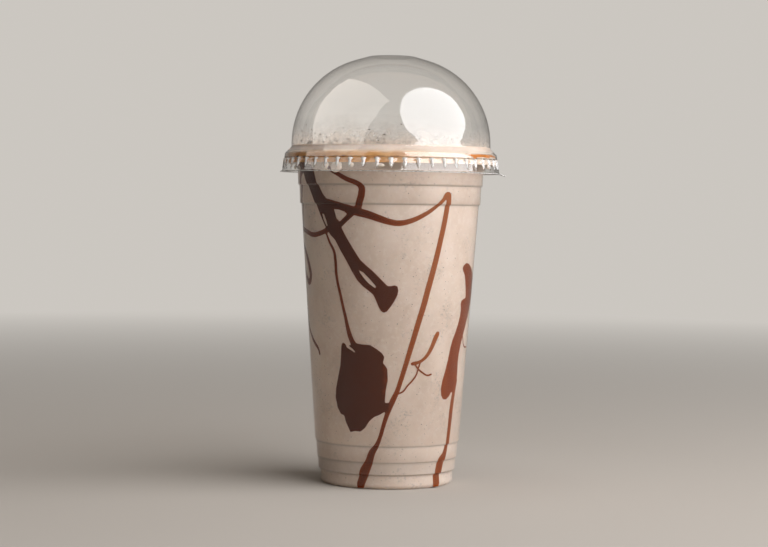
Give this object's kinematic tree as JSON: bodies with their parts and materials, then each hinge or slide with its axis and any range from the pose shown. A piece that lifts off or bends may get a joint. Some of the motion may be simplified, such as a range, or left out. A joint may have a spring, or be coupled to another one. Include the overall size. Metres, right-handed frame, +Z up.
{
  "type": "chocolate milkshake in a lidded cup",
  "caption": "Clear takeaway cup full of pale chocolate milkshake, with dark sauce trails on the inside of its wall, closed by a clear dome lid with a ribbed skirt.",
  "frame": {"origin": "on the table, at the middle of the ring that the cup stands on", "axes": "+Z up along the cup's axis, -Y towards the side that is seen, +X towards the lid's lift tab"},
  "size_m": [0.1063, 0.104, 0.2006],
  "materials": {
    "cup_plastic": "clear, smooth and glossy thin PET sheet",
    "lid_plastic": "clear, smooth and glossy thin PET sheet",
    "milkshake": "soft, pale beige, with fine dark specks and small bubbles"
  },
  "bodies": {
    "root": {"cup": "cup_plastic", "dome_lid": "lid_plastic", "milkshake": "milkshake"}
  },
  "joints": []
}
